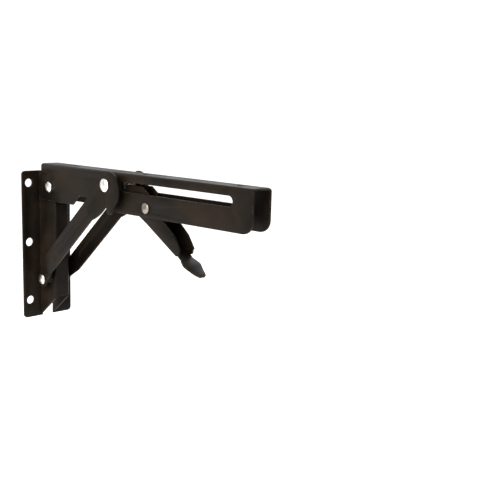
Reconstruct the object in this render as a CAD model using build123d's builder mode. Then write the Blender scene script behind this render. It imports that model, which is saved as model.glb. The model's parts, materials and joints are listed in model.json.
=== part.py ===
from build123d import *
import math
import os

# A folding shelf bracket of pressed steel, in millimetres. The wall is the plane y = 0, the arm
# reaches out along -Y and Z is up from the middle row of screw holes. Side profiles are drawn as
# (reach from the wall, height).

# Sheet and running clearances
sheet = 2.0
bend_radius = 3.0
side_gap = 0.3
rivet_fit = 0.05

# Wall plate: two flanges and a channel, whose side walls rise as ears
plate_height = 160.0
plate_width = 60.0
plate_corner = 4.0
channel_width = 17.5
channel_depth = 31.0
channel_web_top = 45.8
channel_web_bottom = -57.7
ear_top_drop = 2.0
ear_corner = 7.0
screw_hole = 9.0
screw_hole_spread = 44.0
screw_hole_pitch = 64.0
top_row_margin = 12.8

# Arm: an inverted channel over the ears
hinge_reach = 23.4
hinge_height = 60.9
arm_rear = 10.0
arm_front = 317.0
arm_top = 85.2
arm_wall_depth = 38.9
arm_side_play = 0.95
arm_nose_radius = 11.0
arm_top_radius = 3.0
slot_height = 9.6
slot_centre_height = 72.3
slot_inner_play = 0.2
slot_outer_end = 294.0
notch_start = 66.0
notch_end = 132.0
notch_depth = 10.2
notch_radius = 6.0
hinge_recess_margin = 0.8
hinge_recess_top = 76.8
hinge_recess_depth = 0.6
hinge_recess_radius = 5.0
shelf_hole = 6.5
shelf_hole_reaches = (58.0, 168.0, 292.0)

# Strut bars, one on each side, pinned at the foot to the channel
foot_reach = 13.0
foot_height = -40.3
stud_reach = 129.4
bar_width = 20.0
bar_foot_margin = 7.35
bar_slope = 42.3
bar_inner_half_width = 17.0
bar_foot_play = 0.35
bar_foot_radius = 8.5
bar_foot_straight = 12.0
bar_joggle_length = 11.0
rib_length = 92.0
rib_width = 8.0
rib_height = 0.9
rib_start = 34.0
head_top_reach = 7.0
head_top_rise = 12.5
head_nose_reach = 21.0
head_nose_drop = 3.0
head_nose_rise = 6.0
lobe_reach = 10.5
lobe_width = 8.5
lobe_drop = 28.0
arch_rise = 10.5
arch_length = 22.0

# Rivets, sleeves and studs
rivet_shank = 7.0
rivet_head = 11.0
rivet_head_height = 2.8
head_rim = 0.35
strut_head = 12.7
strut_head_height = 3.2
lever_shank = 6.0
lever_head = 10.0
lever_head_height = 2.0
sleeve_wall = 1.4
spacer_diameter = 10.0
stud_inner_half_width = 6.6
stud_flange_diameter = 12.4
stud_flange_thickness = 1.2

# Release lever, inside the arm on its own rivet
lever_reach = 181.5
lever_height = 54.8
lever_sheet = 1.6
lever_shoulder_back = 12.5
lever_tongue_back = 37.5
lever_tongue_half_width = 6.2
lever_tongue_rise = 19.0
lever_tongue_depth = 17.0
lever_shoulder_radius = 9.0
lever_heel_back = 1.5
lever_heel_drop = 14.5
lever_neck_run = 40.5
lever_neck_drop = 39.0
lever_wall_height = 17.0
paddle_length = 31.0
paddle_slope = 8.0
paddle_width = 27.0
paddle_neck_width = 15.0
paddle_corner = 6.0

# Return spring
spring_wire = 1.2
spring_turns = 4.0
spring_pitch = 1.7

# Widths worked out from the folds
channel_half = channel_width / 2
channel_inner_half = channel_half - sheet
arm_inner_half = channel_half + arm_side_play
arm_half = arm_inner_half + sheet
arm_bottom = arm_top - arm_wall_depth
lever_half = arm_inner_half - side_gap
bar_outer_half = bar_inner_half_width + sheet
bar_foot_inner_half = arm_half + bar_foot_play
bar_foot_outer_half = bar_foot_inner_half + sheet
stud_height = slot_centre_height
plate_top = screw_hole_pitch + top_row_margin
plate_bottom = plate_top - plate_height
slot_inner_end = stud_reach - slot_height / 2 - slot_inner_play
stud_diameter = slot_height - 2 * side_gap
lever_wide_start = lever_reach - lever_shoulder_back
lever_tongue_start = lever_reach - lever_tongue_back
lever_tongue_top = lever_height + lever_tongue_rise
lever_tongue_bottom = lever_tongue_top - lever_tongue_depth
lever_heel_reach = lever_reach - lever_heel_back
lever_heel_height = lever_height - lever_heel_drop
lever_neck_reach = lever_reach + lever_neck_run
lever_neck_height = lever_height - lever_neck_drop
inner_bend = bend_radius - sheet
hinge_recess_reach = hinge_reach + rivet_head / 2 + hinge_recess_margin

side = Plane(origin=(0, 0, 0), x_dir=(0, -1, 0), z_dir=(-1, 0, 0))
os.makedirs("parts", exist_ok=True)


def write(builder, name):
    builder.part.label = name
    export_step(builder.part, "parts/" + name + ".step")


def cross_axis(reach, height):
    return Axis((0, -reach, height), (1, 0, 0))


def across(reach, height):
    return Plane(origin=(0, -reach, height), x_dir=(1, 0, 0), z_dir=(0, 0, 1))


def cut_through(reach, height, diameter, half_length):
    # A round hole through everything between -half_length and half_length
    with BuildSketch(side) as drill:
        with Locations((reach, height)):
            Circle(diameter / 2)
    extrude(drill.sketch, amount=half_length, both=True, mode=Mode.SUBTRACT)


def turned(reach, height, outline):
    # A piece turned about a crossways axis; outline is (x, radius) from one end to the other
    with BuildPart() as piece:
        with BuildSketch(across(reach, height)):
            with BuildLine():
                Polyline((outline[0][0], 0), *outline, (outline[-1][0], 0), close=True)
            make_face()
        revolve(axis=cross_axis(reach, height))
    return piece


def dome_mid(rim_x, rim_radius, crown_x):
    # Middle point of the arc from a head's rim to its crown on the axis
    rise = crown_x - rim_x
    ball = (rim_radius ** 2 + rise ** 2) / (2 * abs(rise))
    half_turn = math.asin(rim_radius / ball) / 2
    centre = crown_x - math.copysign(ball, rise)
    return (centre + math.copysign(ball * math.cos(half_turn), rise), ball * math.sin(half_turn))


def rivet(reach, height, shank, seat, head, head_height):
    # A rivet across the bracket with a domed head on each side
    with BuildPart() as piece:
        with BuildSketch(across(reach, height)):
            with BuildLine():
                Polyline((0, 0), (0, shank / 2), (seat, shank / 2), (seat, head / 2),
                         (seat + head_rim * head_height, head / 2))
                rim = (seat + head_rim * head_height, head / 2)
                crown = (seat + head_height, 0)
                ThreePointArc(rim, dome_mid(*rim, crown[0]), crown)
                Line(crown, (0, 0))
            make_face()
        revolve(axis=cross_axis(reach, height))
        mirror(about=Plane.YZ)
    return piece


def tube(reach, height, inner, outer, x_from, x_to):
    # A sleeve, spacer or washer
    with BuildPart() as piece:
        with BuildSketch(across(reach, height)):
            with BuildLine():
                Polyline((x_from, inner / 2), (x_to, inner / 2), (x_to, outer / 2),
                         (x_from, outer / 2), close=True)
            make_face()
        revolve(axis=cross_axis(reach, height))
    return piece


# Wall plate
with BuildPart() as wall_plate:
    with BuildSketch(Plane.XY.offset(plate_bottom)) as hat:
        with BuildLine():
            Polyline(
                (-plate_width / 2, -sheet), (-channel_half, -sheet), (-channel_half, -channel_depth),
                (channel_half, -channel_depth), (channel_half, -sheet), (plate_width / 2, -sheet),
                (plate_width / 2, 0), (channel_inner_half, 0),
                (channel_inner_half, sheet - channel_depth),
                (-channel_inner_half, sheet - channel_depth), (-channel_inner_half, 0),
                (-plate_width / 2, 0), close=True)
        make_face()
        corners = hat.vertices()
        fillet(corners.filter_by(lambda v: abs(v.Y + channel_depth) < 0.01), radius=bend_radius)
        fillet(corners.filter_by(
            lambda v: abs(v.Y) < 0.01 and abs(v.X) < plate_width / 4), radius=bend_radius)
        fillet(corners.filter_by(
            lambda v: abs(v.Y + sheet) < 0.01 and abs(v.X) < plate_width / 4), radius=inner_bend)
        fillet(corners.filter_by(
            lambda v: abs(v.Y + channel_depth - sheet) < 0.01), radius=inner_bend)
    extrude(amount=plate_height)
    # The front web stops below the arm, and the ears stand free above it
    with BuildSketch(side):
        with BuildLine():
            Polyline((channel_depth - bend_radius, channel_web_top),
                     (channel_depth + 1, channel_web_top), (channel_depth + 1, plate_top + 1),
                     (channel_depth - bend_radius, plate_top + 1), close=True)
        make_face()
    extrude(amount=channel_half + 1, both=True, mode=Mode.SUBTRACT)
    with BuildSketch(side):
        with BuildLine():
            Polyline((sheet + bend_radius, plate_top - ear_top_drop),
                     (channel_depth + 1, plate_top - ear_top_drop), (channel_depth + 1, plate_top + 1),
                     (sheet + bend_radius, plate_top + 1), close=True)
        make_face()
    extrude(amount=channel_half + 1, both=True, mode=Mode.SUBTRACT)
    # The foot of the channel is cut back on a slant to the flanges
    with BuildSketch(side):
        with BuildLine():
            Polyline((channel_depth + 1, channel_web_bottom + 1), (sheet, plate_bottom + 2),
                     (sheet, plate_bottom - 1), (channel_depth + 1, plate_bottom - 1), close=True)
        make_face()
    extrude(amount=channel_half + inner_bend, both=True, mode=Mode.SUBTRACT)
    with BuildSketch(side):
        with BuildLine():
            Polyline((channel_depth - bend_radius, channel_web_bottom),
                     (channel_depth + 1, channel_web_bottom),
                     (channel_depth + 1, channel_web_bottom - 10),
                     (channel_depth - bend_radius, channel_web_bottom - 10), close=True)
        make_face()
    extrude(amount=channel_half + 1, both=True, mode=Mode.SUBTRACT)
    # Rounded corners of the plate and of the ears
    fillet(wall_plate.edges().filter_by(Axis.Y).filter_by(
        lambda e: abs(abs(e.center().X) - plate_width / 2) < 0.01), radius=plate_corner)
    fillet(wall_plate.edges().filter_by(Axis.X).filter_by(
        lambda e: e.center().Z > channel_web_top + 5
        and e.center().Y < -channel_depth + bend_radius + 0.01), radius=ear_corner)
    # Screw holes in the flanges
    with BuildSketch(Plane.XZ):
        with GridLocations(screw_hole_spread, screw_hole_pitch, 2, 3):
            Circle(screw_hole / 2)
    extrude(amount=sheet + 1, both=True, mode=Mode.SUBTRACT)
    cut_through(hinge_reach, hinge_height, rivet_shank + 2 * rivet_fit, channel_half + 1)
    cut_through(foot_reach, foot_height, rivet_shank + 2 * rivet_fit, channel_half + 1)
write(wall_plate, "wall_plate")

# Arm
with BuildPart() as arm:
    with BuildSketch(Plane(origin=(0, -arm_rear, 0), x_dir=(1, 0, 0), z_dir=(0, -1, 0))) as hood:
        with BuildLine():
            Polyline((-arm_half, arm_bottom), (-arm_half, arm_top), (arm_half, arm_top),
                     (arm_half, arm_bottom), (arm_inner_half, arm_bottom),
                     (arm_inner_half, arm_top - sheet), (-arm_inner_half, arm_top - sheet),
                     (-arm_inner_half, arm_bottom), close=True)
        make_face()
        fillet(hood.vertices().filter_by(
            lambda v: abs(v.Y - arm_top) < 0.01), radius=bend_radius)
        fillet(hood.vertices().filter_by(
            lambda v: abs(v.Y - arm_top + sheet) < 0.01), radius=inner_bend)
    extrude(amount=arm_front - arm_rear)
    # Side outline: rounded nose and the lower edge cut away over the channel's foot
    with BuildSketch(side) as outline:
        with BuildLine():
            Polyline((arm_rear, arm_bottom), (arm_rear, arm_top), (arm_front, arm_top),
                     (arm_front, arm_bottom), (notch_end + notch_depth / 3, arm_bottom),
                     (notch_end, arm_bottom + notch_depth), (notch_start + notch_depth, arm_bottom + notch_depth),
                     (notch_start, arm_bottom), close=True)
        make_face()
        fillet(outline.vertices().filter_by(
            lambda v: v.X > arm_front - 0.01 and v.Y < arm_bottom + 0.01), radius=arm_nose_radius)
        fillet(outline.vertices().filter_by(
            lambda v: v.X > arm_front - 0.01 and v.Y > arm_top - 0.01), radius=arm_top_radius)
        fillet(outline.vertices().filter_by(
            lambda v: abs(v.Y - arm_bottom - notch_depth) < 0.01), radius=notch_radius)
    extrude(amount=arm_half + 1, both=True, mode=Mode.INTERSECT)
    # Slots for the studs, the same in both walls
    with BuildSketch(side):
        with Locations(((slot_inner_end + slot_outer_end) / 2, slot_centre_height)):
            SlotOverall(slot_outer_end - slot_inner_end, slot_height)
    extrude(amount=arm_half + 1, both=True, mode=Mode.SUBTRACT)
    # Shallow pressed-in area round the hinge rivet
    for turn in (-1, 1):
        recess_face = Plane(origin=(turn * (arm_half - hinge_recess_depth), 0, 0),
                            x_dir=(0, -1, 0), z_dir=(-1, 0, 0))
        with BuildSketch(recess_face) as recess:
            with BuildLine():
                Polyline((arm_rear - 1, arm_bottom - 1), (arm_rear - 1, hinge_recess_top),
                         (hinge_recess_reach, hinge_recess_top),
                         (hinge_recess_reach, arm_bottom - 1), close=True)
            make_face()
            fillet(recess.vertices().filter_by(
                lambda v: v.X > hinge_recess_reach - 0.01 and v.Y > hinge_recess_top - 0.01),
                radius=hinge_recess_radius)
        extrude(amount=-turn * 2, mode=Mode.SUBTRACT)
    cut_through(hinge_reach, hinge_height, rivet_shank + 2 * rivet_fit, arm_half + 1)
    cut_through(lever_reach, lever_height, lever_shank + 2 * rivet_fit, arm_half + 1)
    # Screw holes for the shelf in the top web
    with BuildSketch(Plane.XY.offset(arm_top - sheet - 1)):
        with Locations(*[(0, -reach) for reach in shelf_hole_reaches]):
            Circle(shelf_hole / 2)
    extrude(amount=sheet + 2, mode=Mode.SUBTRACT)
write(arm, "arm")

# Strut bars
slope = math.radians(bar_slope)
along = (0, -math.cos(slope), math.sin(slope))
upward = (0, math.sin(slope), math.cos(slope))
bar_side = Plane(origin=(0, -foot_reach, foot_height), x_dir=along, z_dir=(-1, 0, 0))
bar_plan = Plane(origin=(0, -foot_reach, foot_height), x_dir=along, z_dir=upward)
stud_run = stud_reach - foot_reach
stud_rise = stud_height - foot_height
stud_along = stud_run * math.cos(slope) + stud_rise * math.sin(slope)
joggle_end = bar_foot_straight + bar_joggle_length
bar_end = stud_along + head_nose_reach

with BuildPart() as bar_outline:
    # The bar from its rounded foot up to the stud
    with BuildSketch(bar_side):
        Circle(bar_foot_radius)
        with BuildLine():
            Polyline((0, -bar_foot_margin), (stud_along, -bar_foot_margin),
                     (stud_along, bar_width - bar_foot_margin),
                     (joggle_end, bar_width - bar_foot_margin), (0, bar_foot_radius), close=True)
        make_face()
    extrude(amount=bar_outer_half + 1)
    with BuildSketch(side):
        top_edge = bar_width - bar_foot_margin
        with BuildLine():
            neck_low = (stud_reach - arch_length, foot_height + (stud_reach - arch_length
                        - foot_reach) * math.tan(slope) - bar_foot_margin / math.cos(slope))
            neck_high = (stud_reach - arch_length, foot_height + (stud_reach - arch_length
                         - foot_reach) * math.tan(slope) + top_edge / math.cos(slope))
            lobe_left = stud_reach + lobe_reach - lobe_width
            arch_end = (lobe_left, stud_height - lobe_drop + lobe_width)
            arch_top = (stud_reach - 0.2 * arch_length, neck_low[1] + arch_rise)
            ThreePointArc(neck_low, arch_top, arch_end)
            Line(arch_end, (lobe_left, stud_height - lobe_drop + lobe_width / 2))
            lobe_foot = (lobe_left + lobe_width, stud_height - lobe_drop + lobe_width / 2)
            ThreePointArc((lobe_left, stud_height - lobe_drop + lobe_width / 2),
                          (lobe_left + lobe_width / 2, stud_height - lobe_drop), lobe_foot)
            head_nose = (stud_reach + head_nose_reach, stud_height - head_nose_drop)
            Line(lobe_foot, (stud_reach + head_nose_reach - 2, stud_height - lobe_drop / 2))
            head_brow = (stud_reach + head_nose_reach - 3, stud_height + head_nose_rise)
            ThreePointArc((stud_reach + head_nose_reach - 2, stud_height - lobe_drop / 2),
                          head_nose, head_brow)
            head_crown = (stud_reach + head_top_reach - 4, stud_height + head_top_rise)
            ThreePointArc(head_brow, (stud_reach + 0.62 * head_nose_reach,
                                      stud_height + head_top_rise - 1), head_crown)
            Line(head_crown, neck_high)
            Line(neck_high, neck_low)
        make_face()
    extrude(amount=bar_outer_half + 1)

with BuildPart() as strut_left:
    with BuildSketch(bar_plan):
        with BuildLine():
            Polyline((-bar_foot_radius - 1, -bar_foot_inner_half),
                     (bar_foot_straight, -bar_foot_inner_half), (joggle_end, -bar_inner_half_width),
                     (bar_end + bar_width, -bar_inner_half_width),
                     (bar_end + bar_width, -bar_outer_half), (joggle_end, -bar_outer_half),
                     (bar_foot_straight, -bar_foot_outer_half),
                     (-bar_foot_radius - 1, -bar_foot_outer_half), close=True)
        make_face()
    extrude(amount=2 * bar_width, both=True)
    add(bar_outline.part, mode=Mode.INTERSECT)
    # A long rib pressed outward, hollow behind
    rib_outer = Plane(origin=bar_side.origin + Vector(-bar_outer_half, 0, 0), x_dir=along,
                      z_dir=(-1, 0, 0))
    rib_inner = Plane(origin=bar_side.origin + Vector(-bar_inner_half_width, 0, 0), x_dir=along,
                      z_dir=(-1, 0, 0))
    rib_centre = (rib_start + rib_length / 2, bar_width / 2 - bar_foot_margin)
    with BuildSketch(rib_outer):
        with Locations(rib_centre):
            SlotOverall(rib_length, rib_width)
    extrude(amount=rib_height, taper=45)
    with BuildSketch(rib_inner):
        with Locations(rib_centre):
            SlotOverall(rib_length - 2, rib_width - 2)
    extrude(amount=rib_height, taper=45, mode=Mode.SUBTRACT)
    cut_through(foot_reach, foot_height, rivet_shank + 2 * rivet_fit, bar_outer_half + 5)
    cut_through(stud_reach, stud_height, rivet_shank + 2 * rivet_fit, bar_outer_half + 5)
write(strut_left, "strut_left")

with BuildPart() as strut_right:
    mirror(strut_left.part, about=Plane.YZ)
write(strut_right, "strut_right")

# Hinge rivet of the arm, with its sleeve and washers
hinge_seat = arm_half - hinge_recess_depth + side_gap
hinge_rivet = rivet(hinge_reach, hinge_height, rivet_shank, hinge_seat, rivet_head,
                    rivet_head_height)
write(hinge_rivet, "hinge_rivet")
bore = rivet_shank + 2 * rivet_fit
hinge_sleeve = tube(hinge_reach, hinge_height, bore, bore + 2 * sleeve_wall, -channel_inner_half,
                    channel_inner_half)
write(hinge_sleeve, "hinge_sleeve")

# Foot rivet of the struts, with its sleeve and spacers
foot_rivet = rivet(foot_reach, foot_height, rivet_shank, bar_foot_outer_half + side_gap, rivet_head,
                   rivet_head_height)
write(foot_rivet, "foot_rivet")
foot_sleeve = tube(foot_reach, foot_height, bore, bore + 2 * sleeve_wall, -channel_inner_half,
                   channel_inner_half)
write(foot_sleeve, "foot_sleeve")

for name, turn in (("left", -1), ("right", 1)):
    washer = tube(hinge_reach, hinge_height, bore, rivet_head, turn * channel_half,
                  turn * (arm_inner_half - side_gap))
    write(washer, "hinge_washer_" + name)
    spacer = tube(foot_reach, foot_height, bore, spacer_diameter, turn * channel_half,
                  turn * (bar_foot_inner_half - side_gap))
    write(spacer, "foot_spacer_" + name)
    # Bright rivet through the head of the bar, its tail flush inside
    dome = bar_outer_half + strut_head_height
    with BuildPart() as strut_rivet:
        with BuildSketch(across(stud_reach, stud_height)):
            with BuildLine():
                rim = (turn * (bar_outer_half + head_rim * strut_head_height), strut_head / 2)
                Polyline((turn * dome, 0), (turn * bar_inner_half_width, 0),
                         (turn * bar_inner_half_width, rivet_shank / 2),
                         (turn * bar_outer_half, rivet_shank / 2),
                         (turn * bar_outer_half, strut_head / 2), rim)
                ThreePointArc(rim, dome_mid(*rim, turn * dome), (turn * dome, 0))
            make_face()
        revolve(axis=cross_axis(stud_reach, stud_height))
    write(strut_rivet, "strut_rivet_" + name)
    # Stud that runs in the slot, with a flange outside the arm
    flange_seat = arm_half + side_gap
    stud = turned(stud_reach, stud_height, [
        (turn * stud_inner_half_width, stud_diameter / 2 - 0.6),
        (turn * (stud_inner_half_width + 0.6), stud_diameter / 2),
        (turn * flange_seat, stud_diameter / 2),
        (turn * flange_seat, stud_flange_diameter / 2),
        (turn * (flange_seat + stud_flange_thickness), stud_flange_diameter / 2),
        (turn * (flange_seat + stud_flange_thickness), stud_diameter / 2),
        (turn * (bar_inner_half_width - side_gap), stud_diameter / 2)])
    write(stud, "slide_stud_" + name)

# Release lever: a folded channel, narrowed to a tongue at the catch and spread to a paddle
with BuildPart() as release_lever:
    lever_inner = lever_half - lever_sheet
    tongue_inner = lever_tongue_half_width - lever_sheet
    with BuildSketch(side) as wide_walls:
        with BuildLine():
            Polyline((lever_wide_start, lever_height + lever_shoulder_radius),
                     (lever_reach, lever_height + lever_shoulder_radius),
                     (lever_neck_reach - 3, lever_neck_height + lever_wall_height),
                     (lever_neck_reach + 5, lever_neck_height + 5),
                     (lever_neck_reach, lever_neck_height), (lever_heel_reach, lever_heel_height),
                     (lever_wide_start, lever_heel_height + 6), close=True)
        make_face()
        fillet(wide_walls.vertices().filter_by(
            lambda v: v.Y > lever_height + 1 and v.X < lever_reach + 1), radius=3)
    extrude(amount=lever_half, both=True)
    with BuildSketch(side):
        with BuildLine():
            Polyline((lever_wide_start - 1, lever_height + lever_shoulder_radius + 5),
                     (lever_neck_reach + 20, lever_height + lever_shoulder_radius + 5),
                     (lever_neck_reach + 20, lever_neck_height - 10),
                     (lever_neck_reach, lever_neck_height + lever_sheet * 1.15),
                     (lever_heel_reach, lever_heel_height + lever_sheet * 1.15),
                     (lever_wide_start - 1, lever_heel_height + 6 + lever_sheet * 1.5), close=True)
        make_face()
    extrude(amount=lever_inner, both=True, mode=Mode.SUBTRACT)
    # Tongue: two walls and a bridge, joined to the wide walls by shoulders
    with BuildSketch(side) as tongue:
        with BuildLine():
            Polyline((lever_tongue_start, lever_tongue_top - 5), (lever_tongue_start + 4, lever_tongue_top),
                     (lever_wide_start + 1.5, lever_tongue_top), (lever_reach - 2, lever_tongue_top - 6),
                     (lever_reach - 2, lever_tongue_bottom), (lever_wide_start, lever_heel_height + 8),
                     (lever_tongue_start, lever_tongue_bottom), close=True)
        make_face()
    extrude(amount=lever_tongue_half_width, both=True)
    with BuildSketch(side):
        with BuildLine():
            Polyline((lever_tongue_start - 1, lever_tongue_bottom + lever_sheet),
                     (lever_wide_start, lever_heel_height + 8 + lever_sheet),
                     (lever_wide_start, lever_heel_height + 2), (lever_reach, lever_heel_height + 2),
                     (lever_reach, lever_tongue_top + 1),
                     (lever_tongue_start - 1, lever_tongue_top + 1), close=True)
        make_face()
    extrude(amount=tongue_inner, both=True, mode=Mode.SUBTRACT)
    shoulder_plane = Plane(origin=(0, 0, lever_heel_height + 8), x_dir=(1, 0, 0), z_dir=(0, 0, 1))
    for turn in (-1, 1):
        with BuildSketch(shoulder_plane):
            with Locations((turn * (tongue_inner + lever_half) / 2,
                            -lever_wide_start - lever_sheet / 2)):
                Rectangle(lever_half - tongue_inner, lever_sheet)
        extrude(amount=lever_height + lever_shoulder_radius - lever_heel_height - 11)
    # Paddle, a spade-shaped plate with a turned-up lip at each side
    paddle_tilt = math.radians(paddle_slope)
    paddle_along = (0, -math.cos(paddle_tilt), -math.sin(paddle_tilt))
    paddle_up = (0, -math.sin(paddle_tilt), math.cos(paddle_tilt))
    paddle_plane = Plane(origin=(0, -lever_neck_reach, lever_neck_height), x_dir=paddle_along,
                         z_dir=paddle_up)
    with BuildSketch(paddle_plane) as spade:
        with BuildLine():
            Polyline((-1, paddle_neck_width / 2), (5, paddle_neck_width / 2),
                     (paddle_length * 0.45, paddle_width / 2), (paddle_length, paddle_width / 2 - 2),
                     (paddle_length, -paddle_width / 2 + 2),
                     (paddle_length * 0.45, -paddle_width / 2), (5, -paddle_neck_width / 2),
                     (-1, -paddle_neck_width / 2), close=True)
        make_face()
        fillet(spade.vertices().filter_by(lambda v: v.X > 8), radius=paddle_corner)
    extrude(amount=lever_sheet)
    cut_through(lever_reach, lever_height, lever_shank + 2 * rivet_fit, lever_half + 1)
write(release_lever, "release_lever")

# Lever rivet, its sleeve and the return spring
lever_rivet = rivet(lever_reach, lever_height, lever_shank, arm_half, lever_head,
                    lever_head_height)
write(lever_rivet, "lever_rivet")
lever_bore = lever_shank + 2 * rivet_fit
lever_sleeve = tube(lever_reach, lever_height, lever_bore, lever_bore + 2, -tongue_inner + side_gap,
                    tongue_inner - side_gap)
write(lever_sleeve, "lever_sleeve")
coil_radius = lever_bore / 2 + 1 + side_gap + spring_wire / 2
coil_length = spring_turns * spring_pitch
with BuildPart() as return_spring:
    with BuildLine() as coil:
        Helix(pitch=spring_pitch, height=coil_length, radius=coil_radius,
              center=(-coil_length / 2, -lever_reach, lever_height), direction=(1, 0, 0))
    with BuildSketch(Plane(origin=coil.line @ 0, z_dir=coil.line % 0)):
        Circle(spring_wire / 2)
    sweep(path=coil.line)
write(return_spring, "return_spring")
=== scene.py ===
import json
import math
import bpy
import bmesh
from mathutils import Matrix, Vector


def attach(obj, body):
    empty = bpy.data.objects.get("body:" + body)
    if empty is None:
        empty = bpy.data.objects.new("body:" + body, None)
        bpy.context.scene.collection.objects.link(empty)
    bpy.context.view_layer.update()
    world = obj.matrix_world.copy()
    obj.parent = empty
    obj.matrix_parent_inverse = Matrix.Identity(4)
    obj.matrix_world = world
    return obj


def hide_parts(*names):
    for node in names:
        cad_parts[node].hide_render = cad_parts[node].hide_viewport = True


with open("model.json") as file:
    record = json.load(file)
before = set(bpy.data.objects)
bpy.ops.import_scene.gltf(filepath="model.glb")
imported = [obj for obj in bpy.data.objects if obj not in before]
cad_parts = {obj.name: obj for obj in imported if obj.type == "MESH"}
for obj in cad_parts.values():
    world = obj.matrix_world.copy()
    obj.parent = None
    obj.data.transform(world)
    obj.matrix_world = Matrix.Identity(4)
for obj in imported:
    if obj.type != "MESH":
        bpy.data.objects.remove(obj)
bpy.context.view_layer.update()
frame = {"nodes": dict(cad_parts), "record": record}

mm = 0.001


# Shader helpers

def newMaterial(name):
    material = bpy.data.materials.new(name)
    material.use_nodes = True
    tree = material.node_tree
    return material, tree, tree.nodes["Principled BSDF"]


def addNode(tree, kind, **inputs):
    node = tree.nodes.new(kind)
    for key, value in inputs.items():
        node.inputs[key].default_value = value
    return node


def objectNoise(tree, coords, scale, detail, stretch=(1, 1, 1)):
    mapping = addNode(tree, "ShaderNodeMapping", Scale=stretch)
    tree.links.new(coords.outputs["Object"], mapping.inputs["Vector"])
    noise = addNode(tree, "ShaderNodeTexNoise", Scale=scale, Detail=detail, Roughness=0.6)
    tree.links.new(mapping.outputs["Vector"], noise.inputs["Vector"])
    return noise


def ramp(tree, source, places, colours):
    node = tree.nodes.new("ShaderNodeValToRGB")
    for element, place, colour in zip(node.color_ramp.elements, places, colours):
        element.position = place
        element.color = (*colour, 1)
    tree.links.new(source, node.inputs["Fac"])
    return node


def mapRange(tree, source, span, target):
    node = tree.nodes.new("ShaderNodeMapRange")
    for key, value in zip(("From Min", "From Max", "To Min", "To Max"), (*span, *target)):
        node.inputs[key].default_value = value
    tree.links.new(source, node.inputs["Value"])
    return node


def bumpFrom(tree, noise, strength, depth):
    node = addNode(tree, "ShaderNodeBump", Strength=strength, Distance=depth)
    tree.links.new(noise.outputs["Fac"], node.inputs["Height"])
    return node


def grey(value):
    return (value, value, value)


def edgeMask(tree, radius, places):
    # White where a rounded copy of the normal leaves the true one, so along sharp edges
    rounded = addNode(tree, "ShaderNodeBevel", Radius=radius)
    rounded.samples = 6
    geometry = tree.nodes.new("ShaderNodeNewGeometry")
    dot = tree.nodes.new("ShaderNodeVectorMath")
    dot.operation = "DOT_PRODUCT"
    tree.links.new(rounded.outputs["Normal"], dot.inputs[0])
    tree.links.new(geometry.outputs["Normal"], dot.inputs[1])
    return ramp(tree, dot.outputs["Value"], places, (grey(1), grey(0)))


# Black stove paint over pressed steel
paintLook = {
    "base": (0.0040, 0.0033, 0.0026), "dusty": (0.0150, 0.0102, 0.0064),
    "cloudScale": 26.0, "cloudDetail": 5.0, "cloudStops": (0.38, 0.72),
    # lighter colour along sharp edges: partly real wear, partly a painted edge highlight
    "wornAndHighlit": (0.110, 0.085, 0.062), "edgeRadius": 0.7 * mm, "edgeStops": (0.80, 0.97),
    "patchScale": 160.0, "patchDetail": 6.0, "patchStops": (0.46, 0.60),
    "roughness": (0.36, 0.60), "roughSpan": (0.45, 0.95),
    "speckScale": 900.0, "speckDetail": 3.0, "speckShare": 0.35,
    "peelScale": 620.0, "peelBump": 0.035, "peelDepth": 0.4 * mm,
    "waveScale": 42.0, "waveBump": 0.05, "waveDepth": 2 * mm, "bumpDetail": 2.0,
    "specular": 0.09,
}


def blackPaint(name, look):
    material, tree, shader = newMaterial(name)
    coords = tree.nodes.new("ShaderNodeTexCoord")
    cloud = objectNoise(tree, coords, look["cloudScale"], look["cloudDetail"])
    tone = ramp(tree, cloud.outputs["Fac"], look["cloudStops"], (look["base"], look["dusty"]))
    # Paint rubbed thin on the folded edges, in patches; the lighter edge colour is partly real
    # wear and partly a painted highlight where the edges catch light
    edge = edgeMask(tree, look["edgeRadius"], look["edgeStops"])
    patches = objectNoise(tree, coords, look["patchScale"], look["patchDetail"])
    patchTone = ramp(tree, patches.outputs["Fac"], look["patchStops"], (grey(0), grey(1)))
    wearAndHighlight = tree.nodes.new("ShaderNodeMath")
    wearAndHighlight.operation = "MULTIPLY"
    tree.links.new(edge.outputs["Color"], wearAndHighlight.inputs[0])
    tree.links.new(patchTone.outputs["Color"], wearAndHighlight.inputs[1])
    mix = tree.nodes.new("ShaderNodeMix")
    mix.data_type = "RGBA"
    # the lighter edge colour, partly wear and partly a painted highlight
    mix.inputs["B"].default_value = (*look["wornAndHighlit"], 1)
    tree.links.new(wearAndHighlight.outputs["Value"], mix.inputs["Factor"])
    tree.links.new(tone.outputs["Color"], mix.inputs["A"])
    tree.links.new(mix.outputs["Result"], shader.inputs["Base Color"])
    # Gloss varies in slow clouds with fine dust specks
    specks = objectNoise(tree, coords, look["speckScale"], look["speckDetail"])
    dust = tree.nodes.new("ShaderNodeMath")
    dust.operation = "MULTIPLY_ADD"
    dust.inputs[1].default_value = look["speckShare"]
    tree.links.new(specks.outputs["Fac"], dust.inputs[0])
    tree.links.new(cloud.outputs["Fac"], dust.inputs[2])
    rough = mapRange(tree, dust.outputs["Value"], look["roughSpan"], look["roughness"])
    tree.links.new(rough.outputs["Result"], shader.inputs["Roughness"])
    # Orange peel and the slow waves of thick paint
    peel = objectNoise(tree, coords, look["peelScale"], look["bumpDetail"])
    waves = objectNoise(tree, coords, look["waveScale"], look["bumpDetail"])
    waveBump = bumpFrom(tree, waves, look["waveBump"], look["waveDepth"])
    peelBump = bumpFrom(tree, peel, look["peelBump"], look["peelDepth"])
    tree.links.new(waveBump.outputs["Normal"], peelBump.inputs["Normal"])
    tree.links.new(peelBump.outputs["Normal"], shader.inputs["Normal"])
    shader.inputs["Specular IOR Level"].default_value = look["specular"]
    return material


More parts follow.
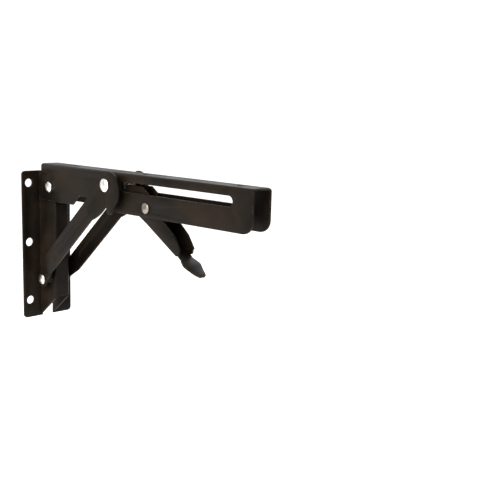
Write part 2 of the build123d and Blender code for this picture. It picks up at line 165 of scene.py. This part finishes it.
# Zinc plated steel of the rivets and sleeves, plain steel of the lever rivet and spring
zincLook = {"dark": (0.52, 0.51, 0.49), "light": (0.86, 0.86, 0.85), "toneScale": 210.0,
            "toneDetail": 5.0, "toneStops": (0.32, 0.56), "roughness": (0.42, 0.20),
            "grainScale": 420.0, "grainDetail": 4.0, "grainBump": 0.08, "grainDepth": 0.2 * mm,
            "grainStretch": (0.2, 1, 1)}
steelLook = {"dark": (0.12, 0.11, 0.10), "light": (0.30, 0.29, 0.27), "toneScale": 210.0,
             "toneDetail": 5.0, "toneStops": (0.32, 0.56), "roughness": (0.48, 0.26),
             "grainScale": 520.0, "grainDetail": 4.0, "grainBump": 0.08, "grainDepth": 0.2 * mm,
             "grainStretch": (0.2, 1, 1)}


def plainSteel(name, look):
    material, tree, shader = newMaterial(name)
    coords = tree.nodes.new("ShaderNodeTexCoord")
    cloud = objectNoise(tree, coords, look["toneScale"], look["toneDetail"])
    tone = ramp(tree, cloud.outputs["Fac"], look["toneStops"], (look["dark"], look["light"]))
    tree.links.new(tone.outputs["Color"], shader.inputs["Base Color"])
    rough = mapRange(tree, cloud.outputs["Fac"], (0, 1), look["roughness"])
    tree.links.new(rough.outputs["Result"], shader.inputs["Roughness"])
    grain = objectNoise(tree, coords, look["grainScale"], look["grainDetail"],
                        look["grainStretch"])
    bump = bumpFrom(tree, grain, look["grainBump"], look["grainDepth"])
    tree.links.new(bump.outputs["Normal"], shader.inputs["Normal"])
    shader.inputs["Metallic"].default_value = 1.0
    return material


paint = blackPaint("blackPaint", paintLook)
zinc = plainSteel("zincSteel", zincLook)
steel = plainSteel("darkSteel", steelLook)
slotLooks = {"black_paint": paint, "zinc_steel": zinc, "dark_steel": steel}
print("materials made")


# Every CAD node takes its finish from its slot
nodeSlots = {part["node"]: part["material_slot"] for part in frame["record"]["subparts"]}
for name, node in frame["nodes"].items():
    for index in range(len(node.material_slots)):
        node.material_slots[index].material = slotLooks[nodeSlots[name]]
print("carried nodes dressed")


# The lever's paddle droops more than the CAD blank and narrows to a blunt tip
paddleForm = {"neckReach": 220.0 * mm, "neckHeight": 15.8 * mm, "neckMargin": 1.5 * mm,
              "lipHeight": 3.5 * mm, "length": 33.0 * mm, "halfWidth": 14.0 * mm,
              "droop": math.radians(25), "widestAt": 0.14, "tipNarrowing": 0.60,
              "tipCurve": 1.1, "dish": 1.6 * mm, "cuts": 3}


def formPaddle(shape, form):
    neck = Vector((0, -form["neckReach"], form["neckHeight"]))
    beyond = neck.y - form["neckMargin"]
    outer = [edge for edge in shape.edges if all(vert.co.y < beyond for vert in edge.verts)]
    bmesh.ops.subdivide_edges(shape, cuts=form["cuts"], use_grid_fill=True, edges=outer)
    paddle = [vert for vert in shape.verts
              if vert.co.y < beyond and vert.co.z < neck.z + form["lipHeight"]]
    for vert in paddle:
        share = min(1.0, (neck.y - vert.co.y) / form["length"])
        taper = max(0.0, share - form["widestAt"]) / (1 - form["widestAt"])
        vert.co.x *= 1 - form["tipNarrowing"] * taper ** form["tipCurve"]
        across = vert.co.x / form["halfWidth"]
        vert.co.z -= form["dish"] * (1 - across ** 2) * math.sin(math.pi * share)
    bmesh.ops.rotate(shape, verts=paddle, cent=neck,
                     matrix=Matrix.Rotation(form["droop"], 3, "X"))


# Folded sheet pieces: the CAD form with the small rounded edges of painted sheet
sheetPieces = {
    "wall_plate": {"body": "base", "edge": 0.35 * mm},
    "arm": {"body": "arm", "edge": 0.35 * mm},
    "strut_left": {"body": "struts", "edge": 0.35 * mm},
    "strut_right": {"body": "struts", "edge": 0.35 * mm},
    "release_lever": {"body": "lever", "edge": 0.30 * mm},
}
sheetFinish = {"mergeWithin": 0.004 * mm, "flatWithin": math.radians(0.6),
               "sharpFrom": math.radians(38), "edgeSegments": 2,
               "shadeBreak": math.radians(32)}


def roundedSheet(nodeName, setting, finish):
    shape = bmesh.new()
    shape.from_mesh(frame["nodes"][nodeName].data)
    bmesh.ops.remove_doubles(shape, verts=shape.verts, dist=finish["mergeWithin"])
    bmesh.ops.dissolve_limit(shape, angle_limit=finish["flatWithin"], verts=shape.verts,
                             edges=shape.edges)
    if nodeName == "release_lever":
        formPaddle(shape, paddleForm)
    sharp = [edge for edge in shape.edges
             if len(edge.link_faces) == 2 and edge.calc_face_angle(0) > finish["sharpFrom"]]
    bmesh.ops.bevel(shape, geom=sharp, offset=setting["edge"], offset_type="OFFSET",
                    segments=finish["edgeSegments"], profile=0.5, affect="EDGES",
                    clamp_overlap=True, material=-1)
    bmesh.ops.triangulate(shape, faces=shape.faces)
    mesh = bpy.data.meshes.new(nodeName + "Sheet")
    shape.to_mesh(mesh)
    shape.free()
    mesh.materials.append(paint)
    mesh.shade_smooth()
    mesh.set_sharp_from_angle(angle=finish["shadeBreak"])
    piece = bpy.data.objects.new(nodeName + "Sheet", mesh)
    bpy.context.scene.collection.objects.link(piece)
    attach(piece, setting["body"])
    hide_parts(nodeName)


for nodeName, setting in sheetPieces.items():
    roundedSheet(nodeName, setting, sheetFinish)
print("sheet pieces rounded")


# Room: a pale floor below the folded bracket and soft light
floorLook = {"height": -0.30, "size": 80.0, "tone": 0.80, "glow": 0.62, "roughness": 0.9}


def makeFloor(look):
    shape = bmesh.new()
    bmesh.ops.create_grid(shape, x_segments=4, y_segments=4, size=look["size"] / 2,
                          matrix=Matrix.Translation((0, 0, look["height"])))
    mesh = bpy.data.meshes.new("floor")
    shape.to_mesh(mesh)
    shape.free()
    material, tree, shader = newMaterial("paleFloor")
    shader.inputs["Base Color"].default_value = (*grey(look["tone"]), 1)
    shader.inputs["Roughness"].default_value = look["roughness"]
    # A backlit sheet, white as far as the eye reaches
    shader.inputs["Emission Color"].default_value = (*grey(1), 1)
    shader.inputs["Emission Strength"].default_value = look["glow"]
    mesh.materials.append(material)
    floor = bpy.data.objects.new("floor", mesh)
    bpy.context.scene.collection.objects.link(floor)


# Bright behind the bracket and dimmer in front, so that the black paint stays black
worldLook = {"tone": (1.0, 1.0, 1.0), "brightSide": (0.52, 0.85, 0.0), "span": (-0.25, 0.55),
             "strength": (0.16, 1.15)}


def makeWorld(look):
    world = bpy.data.worlds.new("softRoom")
    world.use_nodes = True
    tree = world.node_tree
    background = tree.nodes["Background"]
    coords = tree.nodes.new("ShaderNodeTexCoord")
    along = tree.nodes.new("ShaderNodeVectorMath")
    along.operation = "DOT_PRODUCT"
    along.inputs[1].default_value = look["brightSide"]
    tree.links.new(coords.outputs["Generated"], along.inputs[0])
    strength = mapRange(tree, along.outputs["Value"], look["span"], look["strength"])
    strength.interpolation_type = "SMOOTHSTEP"
    tree.links.new(strength.outputs["Result"], background.inputs["Strength"])
    background.inputs["Color"].default_value = (*look["tone"], 1)
    bpy.context.scene.world = world


lampAim = Vector((0, -0.13, 0.02))
lamps = {
    "keyLamp": {"place": (-2.0, -0.4, 1.3), "size": 1.8, "power": 84.0,
                "tint": (1, 0.84, 0.68)},
    "headLamp": {"place": (-0.2, -0.5, 2.2), "size": 1.6, "power": 14.0,
                 "tint": (1, 0.94, 0.86)},
    "rimLamp": {"place": (1.6, 0.6, 1.3), "size": 1.2, "power": 12.0,
                "tint": (0.95, 0.97, 1)},
}


def makeLamp(name, setting, aim):
    light = bpy.data.lights.new(name, "AREA")
    light.size = setting["size"]
    light.energy = setting["power"]
    light.color = setting["tint"]
    lamp = bpy.data.objects.new(name, light)
    place = Vector(setting["place"])
    turn = (aim - place).to_track_quat("-Z", "Y").to_matrix().to_4x4()
    lamp.matrix_world = Matrix.Translation(place) @ turn
    bpy.context.scene.collection.objects.link(lamp)


makeFloor(floorLook)
makeWorld(worldLook)
for name, setting in lamps.items():
    makeLamp(name, setting, lampAim)
print("room lit")


# Camera at the photograph's place: yaw and pitch of its axis, roll about it
view = {"place": (-0.5126, -0.7761, 0.1546), "yaw": 42.599, "pitch": 10.017, "roll": 1.662,
        "lens": 59.94, "sensor": 36.0, "nearest": 0.01}


def makeCamera(setting):
    yaw, pitch, roll = (math.radians(setting[key]) for key in ("yaw", "pitch", "roll"))
    forward = Vector((math.cos(yaw) * math.cos(pitch), math.sin(yaw) * math.cos(pitch),
                      -math.sin(pitch)))
    level = Vector((math.sin(yaw), -math.cos(yaw), 0))
    upright = level.cross(forward)
    right = level * math.cos(roll) + upright * math.sin(roll)
    up = upright * math.cos(roll) - level * math.sin(roll)
    turn = Matrix((right, up, -forward)).transposed().to_4x4()
    data = bpy.data.cameras.new("photoCamera")
    data.lens = setting["lens"]
    data.sensor_width = setting["sensor"]
    data.clip_start = setting["nearest"]
    camera = bpy.data.objects.new("photoCamera", data)
    camera.matrix_world = Matrix.Translation(setting["place"]) @ turn
    bpy.context.scene.collection.objects.link(camera)
    bpy.context.scene.camera = camera


makeCamera(view)
bpy.context.scene.view_settings.view_transform = "Standard"
print("camera placed")
